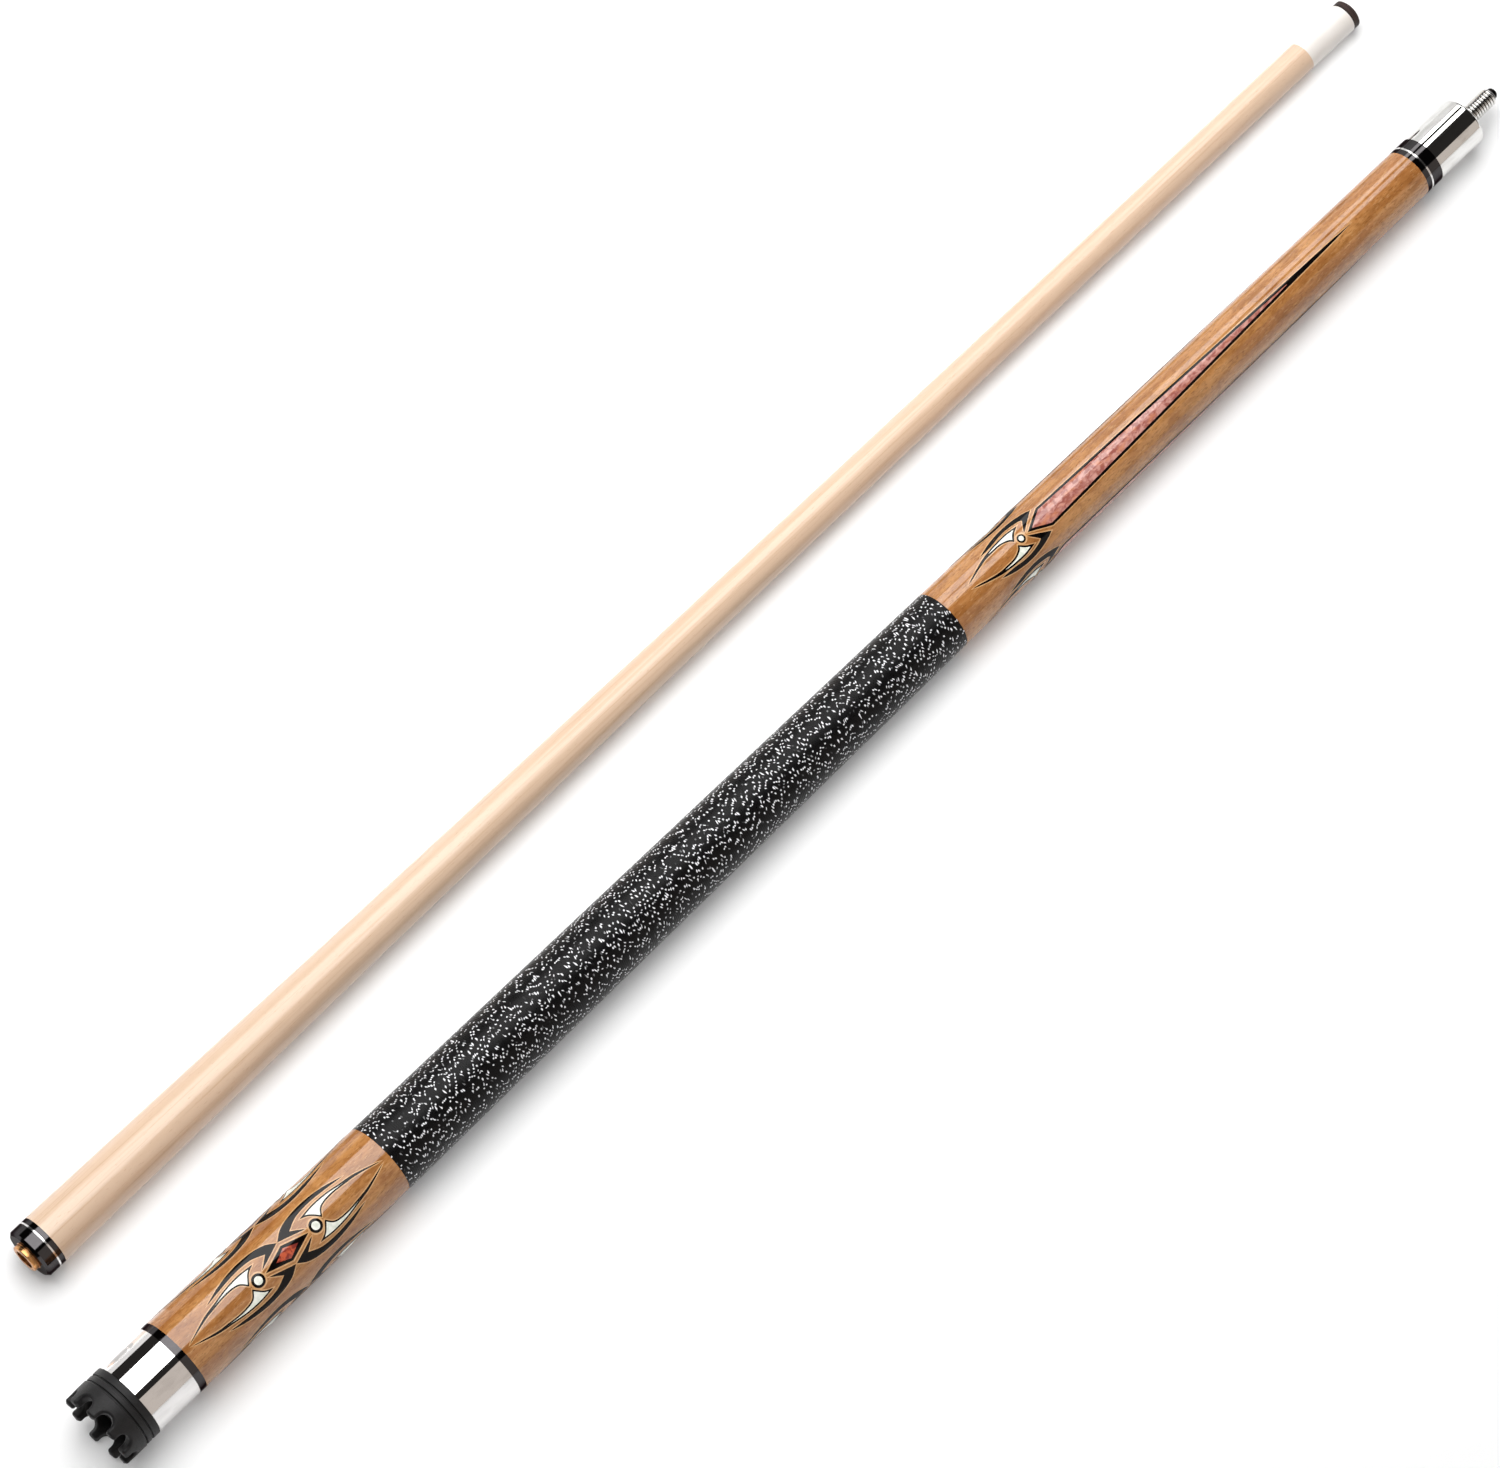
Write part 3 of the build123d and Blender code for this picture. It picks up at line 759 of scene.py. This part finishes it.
class Transfer:
    """One printed layer: its outlines repeated round the butt, as a single thin piece."""

    def __init__(self, name, material, lift):
        self.name = name
        self.material = material
        self.lift = lift
        self.points = []
        self.faces = []

    def add(self, points, centre, turn, ahead=-1):
        """Adds an outline: lengths count from the centre, forwards where ahead is +1."""
        spots, faces = fill(points)
        for repeat in range(REPEATS):
            start = len(self.points)
            middle = math.radians(turn + 360 * repeat / REPEATS)
            for spot in spots:
                station = centre + ahead * spot.x
                radius = butt_radius(station)
                angle = middle + spot.y / radius
                self.points.append(butt_point(station, angle, radius + self.lift))
            for face in faces:
                corners = [start + i for i in face]
                self.faces.append(corners)

    def finish(self):
        """Makes the piece, with every face turned outwards."""
        piece = add_piece(self.name, self.points, self.faces, self.material)
        mesh = piece.data
        for face in mesh.polygons:
            out = face.center - BUTT_ORIGIN
            out = out - FORWARD * out.dot(FORWARD)
            if face.normal.dot(out) < 0:
                face.flip()
        mesh.update()
        # Normals straight out from the axis, so that the print shines like the wood under it.
        normals = []
        for vertex in mesh.vertices:
            out = vertex.co - BUTT_ORIGIN
            normals.append((out - FORWARD * out.dot(FORWARD)).normalized())
        mesh.normals_split_custom_set_from_vertices(normals)


def forearm_hook():
    """The outer black crescent beside a forearm circle."""
    return outline(
        [(-2.8, 1.1), (-11.1, 5.9)],
        [(-11.1, 5.9), (-7.9, 7.2), (-1.9, 8.5), (3.9, 8.7), (9.8, 7.9), (16.1, 6.2)],
        [(16.1, 6.2), (10, 6.5), (5.8, 7.1), (1.1, 7.2), (-4.3, 6.2), (-6.3, 5.2)],
        [(-6.3, 5.2), (-2.8, 1.1)],
    )


def forearm_claw():
    """The inner crescent of a forearm figure, running back into a needle."""
    return outline(
        [(-2.25, 4.9), (0.6, 3.4), (2.95, 1.2)],
        [(2.95, 1.2), (4.4, 2.6), (7.5, 3.8), (12.0, 4.0), (17.4, 3.7), (28.3, 1.2)],
        [(28.3, 1.2), (17.9, 4.3), (11.7, 5.4), (7.2, 5.7), (2.4, 5.7), (-2.25, 4.9)],
    )


def forearm_point():
    """A long point: an arrow tail behind, wide shoulders, and a fine tip far ahead."""
    tail = (FOREARM_CENTRE + POINT_GAP, 0)
    edge = [(tail[0] + POINT_TAIL, 4.6), (-190, 3.1), (-130, 1.5), (POINT_TIP, 0)]
    other_edge = [(x, -y) for x, y in reversed(edge)]
    return outline([tail, edge[0]], edge, other_edge, [other_edge[-1], tail])


def sleeve_hook():
    """The outer black crescent beside a sleeve circle."""
    return outline(
        [(-3.8, 1.8), (-14.3, 5.3)],
        [(-14.3, 5.3), (-10.1, 8.15), (-4.2, 9.7), (3.6, 10), (11.5, 8.8), (19.7, 6.4)],
        [(19.7, 6.4), (11.1, 7.5), (3.6, 8.1), (-3.1, 7.5), (-8.6, 5.2)],
        [(-8.6, 5.2), (-3.8, 1.8)],
    )


def sleeve_claw():
    """The inner crescent of a sleeve figure, running away from the diamond into a needle."""
    return outline(
        [(-2.4, 5.8), (0.8, 4.2), (3.9, 0.8)],
        [(3.9, 0.8), (6.7, 3.6), (12.2, 4.3), (18.9, 3.7), (24, 3.0), (34, 0.55)],
        [(34, 0.55), (24, 3.8), (17, 5.1), (10.7, 6.2), (4.0, 6.5), (-2.4, 5.8)],
    )


def diamond(half_length, half_width):
    """A four-cornered figure about (0, 0)."""
    corners = [(half_length, 0), (0, half_width), (-half_length, 0), (0, -half_width)]
    return outline(*zip(corners, corners[1:] + corners[:1]))


def make_transfers():
    """Every printed figure on the forearm and the sleeve, layer by layer."""
    halo_ink = ink("halo_ink", rgb(216, 170, 120), rgb(200, 150, 100))
    black_ink = ink("black_ink", rgb(14, 10, 9), rgb(6, 4, 4), 0.35)
    white_ink = ink("white_ink", rgb(250, 250, 240), rgb(226, 230, 216))
    halo = Transfer("transfer_halo", halo_ink, HALO_LIFT)
    black = Transfer("transfer_black", black_ink, INK_LIFT)
    white = Transfer("transfer_white", white_ink, FILL_LIFT)
    rose = Transfer("transfer_rose", rose_ink(), FILL_LIFT)
    red = Transfer("transfer_red", red_ink(), FILL_LIFT)

    def print_both(shape, spread, centre, turn, ahead, filled):
        """A crescent and its mirror image: halo, black, and white inside where it is filled."""
        for side in (shape, mirrored(shape)):
            halo.add(offset(side, spread + HALO_WIDTH), centre, turn, ahead)
            black.add(offset(side, spread), centre, turn, ahead)
            if filled:
                white.add(offset(side, -INK_WIDTH), centre, turn, ahead)

    def print_circle(radius, rim, centre, turn):
        """A white spot with a black rim and a halo."""
        halo.add(circle(radius + CIRCLE_HALO), centre, turn)
        black.add(circle(radius), centre, turn)
        white.add(circle(radius - rim), centre, turn)

    print_both(forearm_hook(), FOREARM_SPREAD, FOREARM_CENTRE, FOREARM_TURN, -1, False)
    print_both(forearm_claw(), FOREARM_SPREAD, FOREARM_CENTRE, FOREARM_TURN, -1, True)
    print_circle(FOREARM_CIRCLE, FOREARM_RIM, FOREARM_CENTRE, FOREARM_TURN)
    point = forearm_point()
    halo.add(offset(point, FOREARM_SPREAD + HALO_WIDTH), 0, FOREARM_TURN, 1)
    black.add(offset(point, FOREARM_SPREAD), 0, FOREARM_TURN, 1)
    rose.add(offset(point, -POINT_INK_WIDTH), 0, FOREARM_TURN, 1)

    for ahead in (1, -1):
        centre = SLEEVE_CENTRE + CLAW_OFFSET * ahead
        print_both(sleeve_hook(), SLEEVE_SPREAD, centre, SLEEVE_TURN, ahead, False)
        print_both(sleeve_claw(), SLEEVE_SPREAD, centre, SLEEVE_TURN, ahead, True)
        print_circle(SLEEVE_CIRCLE, SLEEVE_RIM, centre, SLEEVE_TURN)
    for layer, size in ((halo, DIAMOND_HALO), (black, DIAMOND_BLACK), (red, DIAMOND_RED)):
        layer.add(diamond(*size), SLEEVE_CENTRE, SLEEVE_TURN)
    for layer in (halo, black, white, rose, red):
        layer.finish()


# ======================= Stage =======================


def make_sheet(name, corners, material):
    """A flat four-cornered object of the stage."""
    mesh = bpy.data.meshes.new(name)
    mesh.from_pydata(corners, [], [(0, 1, 2, 3)])
    mesh.materials.append(material)
    sheet = bpy.data.objects.new(name, mesh)
    bpy.context.scene.collection.objects.link(sheet)
    return sheet


def make_floor():
    """A plain pale floor with a faint glow of its own."""
    paint = Paint("floor")
    cloud = paint.noise(paint.place, 0.004, 3)
    paint.set(Base_Color=paint.blend(cloud, rgb(229, 229, 229), rgb(225, 225, 225)))
    paint.set(Roughness=0.9, Specular_IOR_Level=0.1)
    paint.set(Emission_Color=(1, 1, 1, 1), Emission_Strength=FLOOR_GLOW)
    corners = [Vector((x, y, 0)) * FLOOR_REACH for x, y in ((-1, -1), (1, -1), (1, 1), (-1, 1))]
    floor = make_sheet("floor", corners, paint.material)


def make_flag(along, beside):
    """A narrow black flag under the softbox, for the thin dark line down the steel collar."""
    paint = Paint("flag")
    paint.set(Base_Color=rgb(8, 8, 8), Roughness=0.9, Specular_IOR_Level=0.0)
    height = Vector((0, 0, FLAG_HEIGHT))
    left = beside * (FLAG_ASIDE - FLAG_WIDTH / 2) + height
    right = beside * (FLAG_ASIDE + FLAG_WIDTH / 2) + height
    near = along * FLAG_NEAR
    far = along * FLAG_FAR
    corners = [near + left, far + left, far + right, near + right]
    flag = make_sheet("flag", corners, paint.material)


def add_panel(name, centre, normal, length_direction, length, width, radiance, colour=(1, 1, 1)):
    """A flat light shining along its normal; radiance is its brightness."""
    data = bpy.data.lights.new(name, "AREA")
    data.shape = "RECTANGLE"
    data.size = length
    data.size_y = width
    data.color = colour
    data.energy = radiance * math.pi * length * width
    lamp = bpy.data.objects.new(name, data)
    back = -Vector(normal).normalized()
    right = Vector(length_direction)
    right = (right - back * right.dot(back)).normalized()
    lamp.matrix_world = Matrix((right, back.cross(right), back)).transposed().to_4x4()
    lamp.location = centre
    bpy.context.scene.collection.objects.link(lamp)
    lamp.visible_camera = False
    return lamp


def add_card(name, left, right, y, top, radiance, colour):
    """A bright card standing on the floor, facing the middle; only reflections show it."""
    centre = ((left + right) / 2, y, top / 2)
    facing = (0, -math.copysign(1, y), 0)
    card = add_panel(name, centre, facing, (1, 0, 0), right - left, top, radiance, colour)
    card.visible_diffuse = False


def make_room():
    """A dark room with a faint warm glow."""
    world = bpy.data.worlds.new("studio")
    world.use_nodes = True
    background = world.node_tree.nodes["Background"]
    background.inputs["Color"].default_value = ROOM_COLOUR
    background.inputs["Strength"].default_value = ROOM_RADIANCE
    bpy.context.scene.world = world


def make_key():
    """The overhead softbox with its flag."""
    along = Vector((math.cos(KEY_TURN), math.sin(KEY_TURN), 0))
    beside = Vector((-along.y, along.x, 0))
    centre = along * KEY_AHEAD + beside * KEY_ASIDE + Vector((0, 0, KEY_HEIGHT))
    add_panel("key", centre, DOWN, along, KEY_LENGTH, KEY_WIDTH, KEY_RADIANCE)
    make_flag(along, beside)


def make_cards():
    """The stepped walls of cards on both sides, and a strip between the halves."""
    white = (1, 1, 1)
    soft_white = (1, 0.99, 0.99)
    strip_white = (1, 0.99, 0.98)
    warm = (1, 0.9, 0.82)
    add_card("far_card_tall", FAR_STEP, FAR_RIGHT, FAR_Y, FAR_TALL_TOP, FAR_RADIANCE, white)
    add_card("far_card_low", FAR_LEFT, FAR_STEP, FAR_Y, FAR_LOW_TOP, FAR_RADIANCE, soft_white)
    add_card("side_card_tall", NEAR_LEFT, NEAR_STEP, NEAR_Y, NEAR_TALL_TOP, NEAR_RADIANCE, warm)
    add_card("side_card_low", NEAR_STEP, NEAR_RIGHT, NEAR_Y, NEAR_LOW_TOP, NEAR_RADIANCE, warm)
    # The strip keeps the chrome cap from mirroring the end of the shaft.
    add_card(
        "divider_card", DIVIDER_LEFT, DIVIDER_RIGHT, DIVIDER_Y, DIVIDER_TOP,
        DIVIDER_RADIANCE, strip_white,
    )


def make_fill():
    """A soft light from above that adds no reflection."""
    fill_light = add_panel(
        "fill", FILL_CENTRE, DOWN, (1, 0, 0), FILL_SIZE, FILL_SIZE, FILL_RADIANCE
    )
    fill_light.visible_glossy = False


def make_camera():
    """A steep view from the front left, with a long lens."""
    data = bpy.data.cameras.new("camera")
    data.lens = CAMERA_LENS
    data.sensor_width = CAMERA_SENSOR
    data.sensor_fit = "AUTO"
    data.clip_start, data.clip_end = CAMERA_CLIP
    camera = bpy.data.objects.new("camera", data)
    level = math.cos(CAMERA_ELEVATION)
    out = Vector(
        (
            level * math.cos(CAMERA_AZIMUTH),
            level * math.sin(CAMERA_AZIMUTH),
            math.sin(CAMERA_ELEVATION),
        )
    )
    camera.location = CAMERA_TARGET + out * CAMERA_DISTANCE
    camera.rotation_mode = "QUATERNION"
    camera.rotation_quaternion = (-out).to_track_quat("-Z", "Y")
    bpy.context.scene.collection.objects.link(camera)
    bpy.context.scene.camera = camera


materials = paint_nodes()
make_winding(materials["linen_wrap"])
make_pin(materials["pin_steel"])
make_transfers()
make_floor()
make_room()
make_key()
make_cards()
make_fill()
make_camera()
bpy.context.scene.view_settings.view_transform = "Standard"
bpy.context.view_layer.update()
